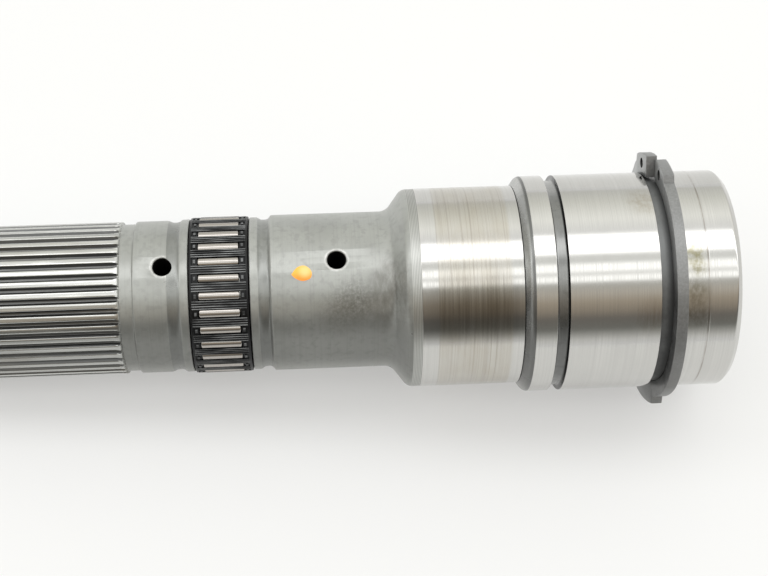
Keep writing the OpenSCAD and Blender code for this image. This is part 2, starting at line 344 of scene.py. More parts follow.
@dataclass(frozen=True)
class Finish:
    """What every finish has: a name, a tint, a roughness, its share of metal, and its stains,
    painted shade and painted highlights.
    """

    name: str
    tint: Colour
    roughness: float
    metallic: float = 1.0
    stains_and_painted_light: tuple[StainAndLightSpot | PaintedSideShade, ...] = ()

    def material(self) -> Material:
        """Makes the material on its first use.

        Returns:
            The finish as a material.
        """
        made = bpy.data.materials.get(self.name)
        if made is None:
            graph = ShaderGraph(self.name, self.metallic)
            self.paint(graph)
            made = graph.material
        return made

    def paint(self, graph: ShaderGraph) -> None:
        """Builds the finish's nodes."""
        raise NotImplementedError

    def toned(self, graph: ShaderGraph, colour: Any, mask: NodeSocket, low: float, high: float,
              most: float, factor: float) -> NodeSocket:
        """Lays a lighter or darker tone of the tint over a colour.

        Args:
            graph: The material's nodes.
            colour: The colour below.
            mask: The value that says where the tone lies.
            low: The mask's value where the tone starts.
            high: The mask's value where it is full.
            most: How strong it is there.
            factor: How light the tone is against the tint.

        Returns:
            The toned colour.
        """
        return graph.mix(graph.remap(mask, low, high, 0.0, most), colour, shade(self.tint, factor))

    def two_tone(self, graph: ShaderGraph, mask: NodeSocket, low: float, high: float,
                 first: float, second: float) -> NodeSocket:
        """Mixes two tones of the tint.

        Args:
            graph: The material's nodes.
            mask: The value that says where each tone lies.
            low: The mask's value where the first tone ends.
            high: The mask's value where the second tone is full.
            first: How light the first tone is against the tint.
            second: How light the second tone is against the tint.

        Returns:
            The mixed colour.
        """
        tones = [shade(self.tint, factor) for factor in (first, second)]
        return graph.mix(graph.remap(mask, low, high), *tones)

    def sheen(self, graph: ShaderGraph, mask: NodeSocket, low: float, high: float, less: float,
              more: float) -> NodeSocket:
        """Varies the roughness.

        Args:
            graph: The material's nodes.
            mask: The value that the roughness follows.
            low: The mask's value where the surface is smoothest.
            high: The mask's value where it is roughest.
            less: How far the roughness falls there.
            more: How far it rises there.

        Returns:
            The roughness.
        """
        return graph.remap(mask, low, high, self.roughness - less, self.roughness + more)

    def with_stains_and_light(self, graph: ShaderGraph, colour: Any) -> Any:
        """Lays the finish's stains, painted shade and painted highlights over a colour.

        Args:
            graph: The material's nodes.
            colour: The colour below.

        Returns:
            The colour with them laid over it.
        """
        for overlay in self.stains_and_painted_light:
            colour = overlay.over(graph, colour)
        return colour


@dataclass(frozen=True)
class SatinSteel(Finish):
    """Dull grey coated steel with faint turning lines and a fine grain."""

    line_depth: float = 0.3
    grain_depth: float = 1.0
    painted_shade_bands: tuple[tuple[float, float, float], ...] = ()
    shade_band_soft: float = 0.25

    def paint(self, graph: ShaderGraph) -> None:
        """Builds clouds and mottle, turning lines, a fine grain, stains, and bands of painted shade
        in grooves and creases.

        Args:
            graph: The material's nodes.
        """
        cloud = graph.noise(75, 55, 4.0)
        mottle = graph.noise(620, 620, 3.0)
        lines = graph.noise(25, 2400, 3.0)
        grain = graph.noise(2300, 2300, 2.0)
        shine = 0.4 * self.grain_depth
        colour = self.two_tone(graph, cloud, 0.3, 0.7, 0.9, 1.08)
        colour = self.toned(graph, colour, mottle, 0.48, 0.68, 0.6, 0.82)
        colour = self.toned(graph, colour, lines, 0.45, 0.72, 0.35, 0.8)
        colour = self.toned(graph, colour, grain, 0.55, 0.75, shine, 1.25)
        colour = self.with_stains_and_light(graph, colour)
        # Bands of painted shade in the corners of grooves and creases.
        for low, high, left in self.painted_shade_bands:
            shade_band = graph.band(low, high, self.shade_band_soft)
            colour = graph.mix(shade_band, colour, shade(self.tint, left))
        roughness = self.sheen(graph, cloud, 0.3, 0.7, 0.04, 0.06)
        height = graph.calc("ADD", graph.product(lines, self.line_depth),
                            graph.product(grain, self.grain_depth))
        graph.surface(colour, roughness, height, 9.0)


@dataclass(frozen=True)
class GroundSteel(Finish):
    """Bright ground steel with fine grinding lines, worn bands, stains and painted shade."""

    worn: tuple[float, float] | None = None
    rub_lines: tuple[float, ...] = ()
    film_tint: Colour = (0.5, 0.475, 0.42)
    wear_tint: Colour = (0.2, 0.17, 0.14)

    def paint(self, graph: ShaderGraph) -> None:
        """Builds the grinding lines, then the worn band, the rubbed lines, the stains and the
        painted shade.

        Args:
            graph: The material's nodes.
        """
        lines = graph.noise(14, 5200, 4.0, 0.6)
        cloud = graph.noise(60, 120, 4.0)
        colour = self.two_tone(graph, lines, 0.35, 0.7, 1.0, 0.92)
        colour = self.toned(graph, colour, cloud, 0.45, 0.75, 0.5, 0.9)
        roughness: Any = self.sheen(graph, lines, 0.3, 0.75, 0.03, 0.07)
        if self.worn:
            mask = graph.band(self.worn[0], self.worn[1], 0.5)
            film = graph.remap(graph.noise(90, 160, 4.0), 0.3, 0.75, 0.5, 0.95)
            rubs = graph.remap(graph.noise(5, 1500, 5.0, 0.7), 0.46, 0.76, 0.0, 0.6)
            colour = graph.mix(graph.product(mask, film), colour, self.film_tint)
            colour = graph.mix(graph.product(mask, rubs), colour, self.wear_tint)
            roughness = graph.calc("ADD", roughness, graph.product(mask, 0.05))
        for height in self.rub_lines:
            broken = graph.remap(graph.noise(150, 400, 4.0), 0.35, 0.65, 0.1, 1.0)
            amount = graph.product(graph.band(height - 0.2, height + 0.2, 0.15), broken)
            colour = graph.mix(graph.product(amount, 0.6), colour, self.wear_tint)
        graph.surface(self.with_stains_and_light(graph, colour), roughness, lines, 0.5)


@dataclass(frozen=True)
class RidgedSteel(Finish):
    """Steel left as the lathe's tool cut it, with even fine ridges."""

    pitch: float = 0.42

    def paint(self, graph: ShaderGraph) -> None:
        """Builds the tool's ridges along the axis and the tint between them.

        Args:
            graph: The material's nodes.
        """
        wave = graph.calc("SINE", graph.product(graph.axes["Z"], 2 * math.pi / (self.pitch * MM)))
        lines = graph.noise(20, 3000, 3.0)
        cloud = graph.noise(160, 160, 4.0)
        colour = self.two_tone(graph, wave, -1.0, 1.0, 0.7, 1.15)
        colour = self.toned(graph, colour, cloud, 0.4, 0.7, 0.6, 0.85)
        roughness = self.sheen(graph, lines, 0.3, 0.7, 0.06, 0.06)
        graph.surface(colour, roughness, graph.calc("ADD", wave, lines), 12.0)


@dataclass(frozen=True)
class StreakedSteel(Finish):
    """Spline steel with streaks along the teeth and a brown film in places."""

    film: Colour = (0.32, 0.3, 0.26)
    film_strength: float = 0.5

    def paint(self, graph: ShaderGraph) -> None:
        """Builds the streaks along the axis, the brown film and small bright rubs.

        Args:
            graph: The material's nodes.
        """
        streaks = graph.noise(1500, 22, 4.0, 0.6)
        cloud = graph.noise(140, 32, 3.0)
        rubs = graph.noise(900, 90, 3.0)
        colour = self.two_tone(graph, streaks, 0.35, 0.7, 0.8, 1.1)
        film = graph.remap(cloud, 0.5, 0.72, 0.0, self.film_strength)
        colour = graph.mix(film, colour, self.film)
        colour = self.toned(graph, colour, rubs, 0.6, 0.72, 0.5, 1.35)
        roughness = self.sheen(graph, streaks, 0.3, 0.7, 0.07, 0.08)
        graph.surface(self.with_stains_and_light(graph, colour), roughness, graph.calc("ADD", streaks, rubs), 5.0)


@dataclass(frozen=True)
class ShearedSteel(Finish):
    """Punched spring steel: dull grey, speckled, with short marks across its thickness."""

    def paint(self, graph: ShaderGraph) -> None:
        """Builds the speckle, the short punching marks and darker patches.

        Args:
            graph: The material's nodes.
        """
        speckle = graph.noise(1700, 1700, 4.0, 0.65)
        marks = graph.noise(1300, 240, 3.0)
        cloud = graph.noise(120, 120, 3.0)
        colour = self.two_tone(graph, speckle, 0.35, 0.7, 0.86, 1.1)
        colour = self.toned(graph, colour, marks, 0.6, 0.8, 0.5, 1.4)
        colour = self.toned(graph, colour, cloud, 0.5, 0.75, 0.5, 0.72)
        roughness = self.sheen(graph, speckle, 0.3, 0.7, 0.08, 0.1)
        height = graph.calc("ADD", speckle, marks)
        graph.surface(self.with_stains_and_light(graph, colour), roughness, height, 9.0)


@dataclass(frozen=True)
class MouldedPlastic(Finish):
    """Black moulded plastic whose raised ridges are lighter grey: scuffs and a painted highlight.
    """

    metallic: float = 0.0
    lightened_from: float = 21.36
    ridge_scuff_and_highlight: Colour = (0.29, 0.3, 0.305)

    def paint(self, graph: ShaderGraph) -> None:
        """Builds the moulded grain and the lighter ridges, scuffed and with a painted highlight,
        which start at a radius in mm.

        Args:
            graph: The material's nodes.
        """
        grain = graph.noise(1600, 1600, 4.0)
        smear = graph.noise(500, 120, 4.0)
        start, full = self.lightened_from, self.lightened_from + 0.05
        raised = graph.remap(graph.radius(), start * MM, full * MM)
        amount = graph.product(raised, graph.remap(smear, 0.35, 0.7, 0.1, 0.9))
        colour = self.two_tone(graph, grain, 0.3, 0.7, 0.7, 1.5)
        # Lighter grey on the raised ridges: partly scuffs, partly a painted highlight.
        colour = graph.mix(amount, colour, self.ridge_scuff_and_highlight)
        roughness = self.sheen(graph, grain, 0.3, 0.7, 0.07, 0.08)
        graph.shader.inputs["Specular IOR Level"].default_value = 0.25
        graph.surface(colour, roughness, grain, 8.0)


@dataclass(frozen=True)
class MarkingPaint(Finish):
    """A dab of marking paint that runs from yellow on one side to orange on the other."""

    metallic: float = 0.0
    other: Colour = (0.95, 0.52, 0.06)
    span: tuple[float, float] = (-5.6, -1.8)
    pale: Colour = (0.98, 0.72, 0.3)
    pale_highlight_at: Vector = field(default_factory=lambda: polar(21.7, 262.0, 115.2))

    def paint(self, graph: ShaderGraph) -> None:
        """Builds the run of colour across the dab, its thick and thin places and a painted
        highlight on it.

        Args:
            graph: The material's nodes.
        """
        thick = graph.noise(700, 700, 4.0)
        across = graph.calc("ADD", graph.axes["X"], graph.product(thick, 1.2 * MM))
        low, high = self.span
        colour = graph.mix(graph.remap(across, low * MM, high * MM), self.tint, self.other)
        # Pale spot on the dab: a painted highlight.
        pale_highlight_part = graph.product(graph.spot(self.pale_highlight_at, 0.4, 2.4), 0.7)
        colour = graph.mix(pale_highlight_part, colour, self.pale)
        roughness = self.sheen(graph, thick, 0.3, 0.7, 0.08, 0.1)
        graph.surface(colour, roughness, thick, 30.0)


class Cut(Enum):
    """The two ways in which one solid shapes another."""

    AWAY = "DIFFERENCE"
    JOIN = "UNION"


@dataclass(frozen=True)
class Corner:
    """A corner of a turned outline: its radius and height, and how far and finely it is rounded."""

    r: float
    z: float
    rounding: float = 0.0
    steps: int = 3


def round_off(bm: BMesh, geom: Sequence[BMVert | BMEdge], rounding: float, steps: int,
              clamp: bool = False) -> None:
    """Rounds corners or edges of a mesh.

    Args:
        bm: The mesh.
        geom: The corners of an outline or the edges of a solid.
        rounding: How far they are rounded, in mm.
        steps: How finely they are rounded.
        clamp: Whether the rounding stops where it would overlap.
    """
    affect = "EDGES" if isinstance(geom[0], BMEdge) else "VERTICES"
    bmesh.ops.bevel(bm, geom=geom, offset=rounding * MM, offset_type="OFFSET", segments=steps,
                    profile=0.5, affect=affect, material=-1, clamp_overlap=clamp)


def turned_solid(corners: Sequence[Corner], segments: int, closed: bool = False) -> BMesh:
    """Turns an outline round the Z axis.

    Args:
        corners: The outline in order, in mm.
        segments: The number of flats round the axis.
        closed: Whether the last corner joins the first, as on a ring.

    Returns:
        The closed solid, in metres.
    """
    hold = 0.08
    bm = bmesh.new()
    chain: list[BMVert] = []
    rounded: dict[tuple[float, int], list[BMVert]] = {}
    count = len(corners)
    for i, corner in enumerate(corners):
        here = Vector((corner.r, 0.0, corner.z))
        stops: list[Vector] = []
        for other in (corners[i - 1], corners[(i + 1) % count]):
            way = Vector((other.r, 0.0, other.z)) - here
            reach = min(corner.rounding + hold, 0.45 * way.length)
            stops.append(here + way.normalized() * reach)
        if corner.rounding and (closed or i > 0):
            chain.append(bm.verts.new(stops[0] * MM))
        chain.append(bm.verts.new(here * MM))
        if corner.rounding:
            rounded.setdefault((corner.rounding, corner.steps), []).append(chain[-1])
            if closed or i < count - 1:
                chain.append(bm.verts.new(stops[1] * MM))
    for first, second in zip(chain, chain[1:] + (chain[:1] if closed else [])):
        bm.edges.new((first, second))
    for (rounding, steps), verts in rounded.items():
        round_off(bm, verts, rounding, steps)
    bmesh.ops.spin(bm, geom=bm.verts[:] + bm.edges[:], cent=(0, 0, 0), axis=(0, 0, 1),
                   angle=2 * math.pi, steps=segments, use_merge=True)
    bmesh.ops.remove_doubles(bm, verts=bm.verts[:], dist=2e-7)
    bmesh.ops.recalc_face_normals(bm, faces=bm.faces[:])
    return bm


def pin(radius: float, low: float, high: float, segments: int, rounding: float = 0.0) -> BMesh:
    """Turns a plain pin round the Z axis.

    Args:
        radius: Its radius in mm.
        low: The height of its lower end.
        high: The height of its upper end.
        segments: The number of flats round the axis.
        rounding: How far the edges of its ends are rounded.

    Returns:
        The closed solid, in metres.
    """
    corners = [Corner(0, low), Corner(radius, low, rounding, 4), Corner(radius, high, rounding, 4),
               Corner(0, high)]
    return turned_solid(corners, segments)


def repeat_round(bm: BMesh, count: int) -> None:
    """Copies everything in a mesh round the Z axis.

    Args:
        bm: The mesh.
        count: How many times its shape stands there in the end.
    """
    step = 2 * math.pi / count
    bmesh.ops.spin(bm, geom=bm.verts[:] + bm.edges[:] + bm.faces[:], cent=(0, 0, 0), axis=(0, 0, 1),
                   angle=step * (count - 1), steps=count - 1, use_duplicate=True)


def as_object(name: str, bm: BMesh) -> Object:
    """Writes a mesh to a new object at the origin.

    Args:
        name: The object's name.
        bm: The mesh, which is freed.

    Returns:
        The object.
    """
    mesh = bpy.data.meshes.new(name)
    bm.to_mesh(mesh)
    bm.free()
    made = bpy.data.objects.new(name, mesh)
    bpy.context.scene.collection.objects.link(made)
    return made


def shape_by(piece: Object, tool: BMesh, cut: Cut) -> None:
    """Cuts a solid away from a piece or joins it to the piece, for good.

    Args:
        piece: The piece that changes.
        tool: The solid or solids to use, which are freed.
        cut: Whether they are cut away or joined.
    """
    helper = as_object("shaping_tool", tool)
    modifier = piece.modifiers.new("shape", "BOOLEAN")
    modifier.operation = cut.value
    modifier.solver = "MANIFOLD"
    modifier.object = helper
    shaped = piece.evaluated_get(bpy.context.evaluated_depsgraph_get())
    done = bpy.data.meshes.new_from_object(shaped)
    piece.modifiers.remove(modifier)
    old, piece.data = piece.data, done
    old_tool = helper.data
    bpy.data.objects.remove(helper)
    for mesh in (old, old_tool):
        bpy.data.meshes.remove(mesh)
    done.name = piece.name


def dress(piece: Object, body: str, finishes: Sequence[Finish],
          finish_at: Callable[[Vector], int] | None = None) -> None:
    """Gives a piece its finishes, its smooth faces and sharp edges, and the body that it rides on.

    Args:
        piece: The finished shape.
        body: The name of the body that carries it.
        finishes: The finishes, in the order of the piece's material slots.
        finish_at: Says which finish a face has, from its middle in mm, or None for the first.
    """
    mesh = piece.data
    mesh.materials.clear()
    for finish in finishes:
        mesh.materials.append(finish.material())
    for face in mesh.polygons:
        face.use_smooth = True
        face.material_index = finish_at(face.center / MM) if finish_at else 0
    mesh.set_sharp_from_angle(angle=SHARP_EDGE)
    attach(piece, body)
    LOG.info("%s: %d faces on %s", piece.name, len(mesh.polygons), body)


class Zone(Enum):
    """The stretches of the shaft that have a finish of their own."""

    JOURNAL = 0
    GROUND = 1
    SATIN = 2
    TURNED = 3
    GROOVE = 4
    LAND = 5
    GAP = 6
    OILWAY = 7
    RELIEF = 8
    SHOULDER = 9
    RING_SEAT = 10


@dataclass
class MainShaft:
    """The one-piece shaft: turned outline, spline, oil ways and the dab of paint on its body."""

    segments: int = 252
    journal_r: float = 30.0
    ground_r: float = 27.5
    turned_r: float = 27.4
    body_r: float = 21.5
    groove_r: float = 28.5
    end_chamfer: float = 1.5
    rubbed_line: tuple[float, float] = (8.8, 9.6)
    rubbed_depth: float = 0.04
    ring_groove: tuple[float, float] = (15.3, 21.7)
    stop_groove: tuple[float, float] = (46.0, 49.2)
    z_shoulder: float = 54.7
    land_edge_r: float = 1.9
    land_slope: float = 56.0
    undercut: tuple[float, float] = (57.4, 57.62)
    undercut_depth: float = 0.15
    z_turned: float = 84.6
    z_fall: float = 87.1
    fall_corners: tuple[float, float] = (87.9465, 92.3924)  # heights, before rounding
    fall_roundings: tuple[float, float] = (1.2465, 1.6952)
    relief_r: float = 20.3
    relief_len: float = 3.65
    rib_r: float = 21.05
    race_r: float = 18.5
    collar_r: float = 20.9
    neck_r: float = 20.2
    spline_r: float = 20.9
    root_r: float = 19.85
    gallery_r: float = 6.0
    gallery_mouth: tuple[float, float] = (9.0, 5.196)  # radius and depth
    gallery_ends: tuple[float, float] = (159.9876, 163.593)  # end of the full bore, drill point
    centre_radii: tuple[float, float] = (5.0, 2.0)  # of the cone's mouth and of the hole
    centre_depths: tuple[float, float] = (5.196, 10.196)  # of the cone and of the hole
    z_body_groove: float = 124.1876
    z_race: float = 130.0376
    z_race_end: float = 146.2376
    z_collar: float = 152.0876
    z_neck: float = 161.0876
    z_spline: float = 164.4876
    z_end: float = 224.4876
    teeth: int = 42
    first_gap_at: float = 246.7
    runout_r: float = 5.0
    runout_in: float = 2.2
    runout_turn: float = 48.0
    runout_steps: int = 7
    gap_floor_half: float = 0.35
    gap_flank: tuple[tuple[float, float], ...] = (  # radius, half width
        (20.66, 0.73), (20.8, 0.83), (20.88, 0.96), (20.93, 1.14), (21.9, 1.5))
    gap_rounding: float = 0.16
    oil_hole_r: float = 2.5
    oil_hole_at: float = 270.0
    oil_holes: tuple[tuple[float, float], ...] = (  # height, radius of the surface
        (106.6876, 21.5), (152.9876, 20.9))
    paint_at: tuple[float, float] = (260.6, 115.7)  # direction and height
    paint_w: float = 3.3
    paint_tail: float = 3.9
    paint_head: float = 2.6
    paint_rise: float = 0.3
    paint_sunk: float = 0.05

    @staticmethod
    def shallow_groove(radius: float, span: tuple[float, float], depth: float,
                       slope: float) -> list[Corner]:
        """Returns the corners of a shallow groove in a round wall.

        Args:
            radius: The radius of the wall.
            span: The heights between which the groove lies.
            depth: How far it goes in.
            slope: The height that each of its sloping walls takes up.

        Returns:
            The four corners, upwards.
        """
        (low, high), floor = span, radius - depth
        return [Corner(radius, low), Corner(floor, low + slope), Corner(floor, high - slope),
                Corner(radius, high)]

    def outline(self) -> list[Corner]:
        """Works out the outline from the gallery's point, over the large end, to the spline's end.

        Returns:
            The corners in order.
        """
        j, g, t, b = self.journal_r, self.ground_r, self.turned_r, self.body_r
        rib, relief, collar, neck = self.rib_r, self.relief_r, self.collar_r, self.neck_r
        z1, z2, z3 = self.z_body_groove, self.z_race, self.z_race_end
        mouth_r, mouth_z = self.gallery_mouth
        bore = [Corner(0, self.gallery_ends[1]), Corner(self.gallery_r, self.gallery_ends[0]),
                Corner(self.gallery_r, mouth_z), Corner(mouth_r, 0, 0.2)]
        end = [Corner(j - self.end_chamfer, 0, 0.25, 2), Corner(j, self.end_chamfer, 0.35, 3)]
        seal = self.shallow_groove(j, self.rubbed_line, self.rubbed_depth, 0.05)
        grooves: list[Corner] = []
        for (low, high), foot in ((self.ring_groove, 0.3), (self.stop_groove, 0.8)):
            grooves += [Corner(j, low, 0.16), Corner(self.groove_r, low, foot, 5),
                        Corner(self.groove_r, high, foot, 5), Corner(j, high, 0.16)]
        reach = self.land_edge_r * math.tan(math.radians(self.land_slope / 2))
        step = [Corner(j, self.z_shoulder + reach, reach, 8),
                *self.shallow_groove(g, self.undercut, self.undercut_depth, 0.07),
                Corner(g, self.z_turned, 0.06, 2), Corner(t, self.z_turned + 0.1)]
        fall = [Corner(r, z, rounding, 10)
                for r, z, rounding in zip((t, b), self.fall_corners, self.fall_roundings)]
        recess = [
            Corner(b, z1, 0.25, 2), Corner(relief, z1 + 0.9, 0.55, 3),
            Corner(relief, z1 + 2.75, 0.55, 3), Corner(rib, z1 + 3.85, 0.28, 3),
            Corner(rib, z2, 0.35, 3), Corner(self.race_r, z2, 0.3), Corner(self.race_r, z3, 0.3),
            Corner(rib, z3, 0.35, 3), Corner(rib, z3 + 2.1, 0.28, 3),
            Corner(relief, z3 + 3.1, 0.55, 3), Corner(relief, z3 + 4.95, 0.55, 3)]
        shoulder = [
            Corner(collar, self.z_collar + 0.25, 0.35, 3),
            Corner(collar, self.z_neck - 0.25, 0.35, 3),
            Corner(neck, self.z_neck, 0.4, 3), Corner(neck, self.z_spline, 0.2),
            Corner(self.spline_r, self.z_spline + 0.15, 0.3, 3),
            Corner(self.spline_r, self.z_end - self.end_chamfer, 0.25, 2),
            Corner(self.spline_r - self.end_chamfer, self.z_end, 0.25, 2)]
        (wide, narrow), (cone, depth) = self.centre_radii, self.centre_depths
        centre = [Corner(wide, self.z_end, 0.15, 2), Corner(narrow, self.z_end - cone),
                  Corner(narrow, self.z_end - depth), Corner(0, self.z_end - depth)]
        return bore + end + seal + grooves + step + fall + recess + shoulder + centre

    def tooth_gaps(self) -> BMesh:
        """Makes the solids to cut out between the spline's teeth, with their rounded run-outs.

        Returns:
            The solids, in one mesh.
        """
        half = [(self.root_r, self.gap_floor_half), *self.gap_flank]
        bm = bmesh.new()
        start, lower = self.z_spline + self.runout_in, self.z_end + 2.0
        points = [(r, -w) for r, w in half] + [(r, w) for r, w in reversed(half)]
        bm.faces.new([bm.verts.new(Vector((r, w, lower)) * MM) for r, w in points])
        roots = [v for v in bm.verts if v.co.x < (self.root_r + 0.01) * MM]
        round_off(bm, roots, self.gap_rounding, 3)
        drawn = bmesh.ops.extrude_face_region(bm, geom=bm.faces[:], use_keep_orig=True)["geom"]
        moved = [v for v in drawn if isinstance(v, BMVert)]
        bmesh.ops.translate(bm, verts=moved, vec=(0, 0, (start - lower) * MM))
        front = [f for f in drawn if isinstance(f, BMFace)]
        bmesh.ops.spin(bm, geom=moved + [e for e in drawn if isinstance(e, BMEdge)] + front,
                       cent=Vector((self.root_r + self.runout_r, 0, start)) * MM, axis=(0, -1, 0),
                       angle=math.radians(self.runout_turn), steps=self.runout_steps)
        bmesh.ops.remove_doubles(bm, verts=bm.verts[:], dist=1e-7)
        inner = [f for f in bm.faces if all(len(e.link_faces) > 2 for e in f.edges)]
        bmesh.ops.delete(bm, geom=inner, context="FACES")
        bmesh.ops.recalc_face_normals(bm, faces=bm.faces[:])
        bmesh.ops.rotate(bm, verts=bm.verts[:], cent=(0, 0, 0),
                         matrix=Matrix.Rotation(math.radians(self.first_gap_at), 3, "Z"))
        repeat_round(bm, self.teeth)
        return bm

    def oil_hole(self, height: float, surface_r: float) -> BMesh:
        """Returns one drilled oil way with a rounded mouth.

        Args:
            height: The height of its axis.
            surface_r: The radius of the surface that it opens in.

        Returns:
            The solid to cut away.
        """
        r, start = self.oil_hole_r, 2.0
        mouth = ((0.0, -0.75), (0.07, -0.42), (0.24, -0.18), (0.55, -0.02), (0.9, 0.8))
        corners = [Corner(0, start), Corner(r, start),
                   *(Corner(r + out, surface_r + up) for out, up in mouth),
                   Corner(0, surface_r + mouth[-1][1])]
        bm = turned_solid(corners, 64)
        lift = Matrix.Translation(Vector((0, 0, height * MM)))
        lay = Matrix.Rotation(math.radians(90), 4, "X")
        bmesh.ops.transform(bm, matrix=lift @ lay, verts=bm.verts[:])
        return bm

    def zone_at(self, middle: Vector) -> int:
        """Returns the finish of a face.

        Args:
            middle: The face's middle in mm.

        Returns:
            The number of its material slot.
        """
        r, z = math.hypot(middle.x, middle.y), middle.z
        bands = ((self.z_shoulder + 0.15, Zone.JOURNAL), (self.undercut[0] + 0.02, Zone.SHOULDER),
                 (self.undercut[1] - 0.02, Zone.GROOVE), (self.z_turned + 0.02, Zone.GROUND),
                 (self.z_fall, Zone.TURNED), (self.z_spline + 0.4, Zone.SATIN),
                 (self.z_end + 1, Zone.LAND))
        zone = next(kind for top, kind in bands if z <= top)
        grooves = ((self.ring_groove, Zone.RING_SEAT), (self.stop_groove, Zone.GROOVE))
        for (low, high), kind in grooves:
            if low - 0.12 < z < high + 0.12 and r < self.journal_r - 0.03:
                zone = kind
        reliefs = (self.z_body_groove, self.z_collar - self.relief_len)
        in_relief = any(low + 0.3 < z < low + self.relief_len - 0.1 for low in reliefs)
        below_chamfer = z < self.z_end - self.end_chamfer - 0.1
        if self.z_race + 0.1 < z < self.z_race_end - 0.1 and r < self.race_r + 0.2:
            zone = Zone.GROUND
        elif in_relief and r < self.rib_r - 0.25:
            zone = Zone.RELIEF
        elif zone is Zone.LAND and r < self.spline_r - 0.09 and below_chamfer:
            zone = Zone.GAP
        in_hole = any(math.hypot(middle.x, z - height) < self.oil_hole_r + 0.05
                      for height, _ in self.oil_holes)
        in_gallery = r < self.gallery_r + 0.05 and z < self.gallery_ends[1] + 1
        if in_gallery or (in_hole and middle.y < 0 and r > self.gallery_r - 1):
            zone = Zone.OILWAY
        return zone.value

    def finishes(self) -> list[Finish]:
        """Sets up the shaft's finishes, their stains and their painted shade and highlights.

        Returns:
            The finishes in the order of Zone.
        """
        brown, wear_and_shade, bright = (0.15, 0.13, 0.07), (0.09, 0.075, 0.055), (0.58, 0.575, 0.555)
        rim, smear = (0.64, 0.64, 0.62), (0.15, 0.145, 0.13)
        # Lighter spot on the stop groove and shoulder: a painted highlight.
        painted_top_light = StainAndLightSpot(polar(28.8, 319, 51.5), 4.0, 11.0, (0.55, 0.55, 0.54), 0.8, 60, 60)
        # Darker side of the ring groove's floor: painted shade.
        seat_painted_shade = StainAndLightSpot(polar(28.5, 200, 20.0), 8.0, 26.0, (0.03, 0.03, 0.03), 0.9, 60, 60)
        body_stains_and_painted_light = (
            PaintedSideShade(),
            StainAndLightSpot(polar(21.5, 240, 101.5), 1.0, 8.5, (0.11, 0.108, 0.095), 0.7, 1500, 1500),
            StainAndLightSpot(polar(21.5, 231, 106.0), 1.0, 9.0, (0.15, 0.148, 0.13), 0.55, 1500, 1500),
            # Dark smears at the cone's foot: partly a real smear, partly painted shade in the
            # hollow.
            StainAndLightSpot(polar(23.5, 254, 92.5), 2.0, 9.0, smear, 0.65, 300, 700),
            StainAndLightSpot(polar(23.5, 236, 92.5), 2.0, 11.0, smear, 0.65, 300, 700),
            # Lighter ring round each oil hole's mouth: a painted highlight.
            *(StainAndLightSpot(polar(surface_r, self.oil_hole_at, height), 3.0, 3.6, rim, 0.8)
              for height, surface_r in self.oil_holes))
        end_stains = (
            StainAndLightSpot(polar(30, 260, 12.6), 0.6, 4.2, (0.3, 0.28, 0.16), 0.9, 700, 700),
            StainAndLightSpot(polar(30, 253, 12.2), 0.6, 3.8, (0.24, 0.22, 0.13), 0.85, 700, 700),
            StainAndLightSpot(polar(30, 240, 12.6), 1.0, 5.0, brown, 0.6, 500, 900),
            StainAndLightSpot(polar(30, 229, 12.8), 1.0, 5.5, brown, 0.6, 500, 900),
            StainAndLightSpot(polar(30, 229, 23.5), 0.5, 7.0, (0.26, 0.19, 0.12), 0.4, 120, 1200),
            StainAndLightSpot(polar(30, 292, 24.0), 0.5, 7.0, (0.3, 0.25, 0.17), 0.5, 500, 500))
        # Dark patches on the worn band: partly wear, partly painted shade on its darker side.
        ground_wear_and_shade = tuple(StainAndLightSpot(polar(27.5, at, height), 2.0, 9.0, wear_and_shade, 0.45, 30, 1900)
                              for at in (228, 242) for height in (65.0, 75.5))
        # The side shade on most finishes below is painted shade on one side of the shaft.
        return [
            GroundSteel("ground_journal_steel", bright, 0.12,
                        rub_lines=(sum(self.rubbed_line) / 2,), stains_and_painted_light=end_stains),
            GroundSteel("worn_ground_steel", bright, 0.12, worn=(60.8, 80.2),
                        stains_and_painted_light=(PaintedSideShade(230.0, 6.0, 19.0, 0.6), *ground_wear_and_shade)),
            SatinSteel("satin_coated_steel", (0.35, 0.358, 0.339), 0.31, 0.55, grain_depth=0.4,
                       stains_and_painted_light=body_stains_and_painted_light),
            RidgedSteel("turned_band_steel", (0.43, 0.435, 0.415), 0.4),
            # Dark bands at the stop groove's wall and in the undercut: painted shade.
            SatinSteel("groove_steel", (0.245, 0.248, 0.243), 0.25, grain_depth=0.1,
                       stains_and_painted_light=(PaintedSideShade(), painted_top_light),
                       painted_shade_bands=((45.2, 46.35, 0.15), (57.3, 57.9, 0.25))),
            StreakedSteel("spline_land_steel", (0.6, 0.605, 0.585), 0.22,
                          stains_and_painted_light=(PaintedSideShade(left=0.72),)),
            StreakedSteel("spline_gap_steel", (0.15, 0.152, 0.15), 0.34, film_strength=0.25,
                          stains_and_painted_light=(PaintedSideShade(left=0.8),)),
            # Near-black tint inside the gallery and oil holes: painted shade.
            SatinSteel("oil_way_shaded_steel", (0.055, 0.052, 0.047), 0.5),
            SatinSteel("relief_groove_steel", (0.27, 0.277, 0.265), 0.3, 0.8, grain_depth=0.1,
                       stains_and_painted_light=(PaintedSideShade(),)),
            # Dark band on the shoulder's steep face: painted shade.
            SatinSteel("shoulder_steel", (0.33, 0.334, 0.325), 0.26, 0.85, grain_depth=0.1,
                       stains_and_painted_light=(PaintedSideShade(outer=44.0, left=0.5), painted_top_light),
                       painted_shade_bands=((54.9, 55.7, 0.45),)),
            # Dark band on the ring seat next to the ring: painted shade.
            SatinSteel("ring_seat_steel", (0.21, 0.216, 0.216), 0.42, 0.5, grain_depth=0.3,
                       stains_and_painted_light=(seat_painted_shade,), painted_shade_bands=((15.0, 19.6, 0.25),), shade_band_soft=1.2),
        ]

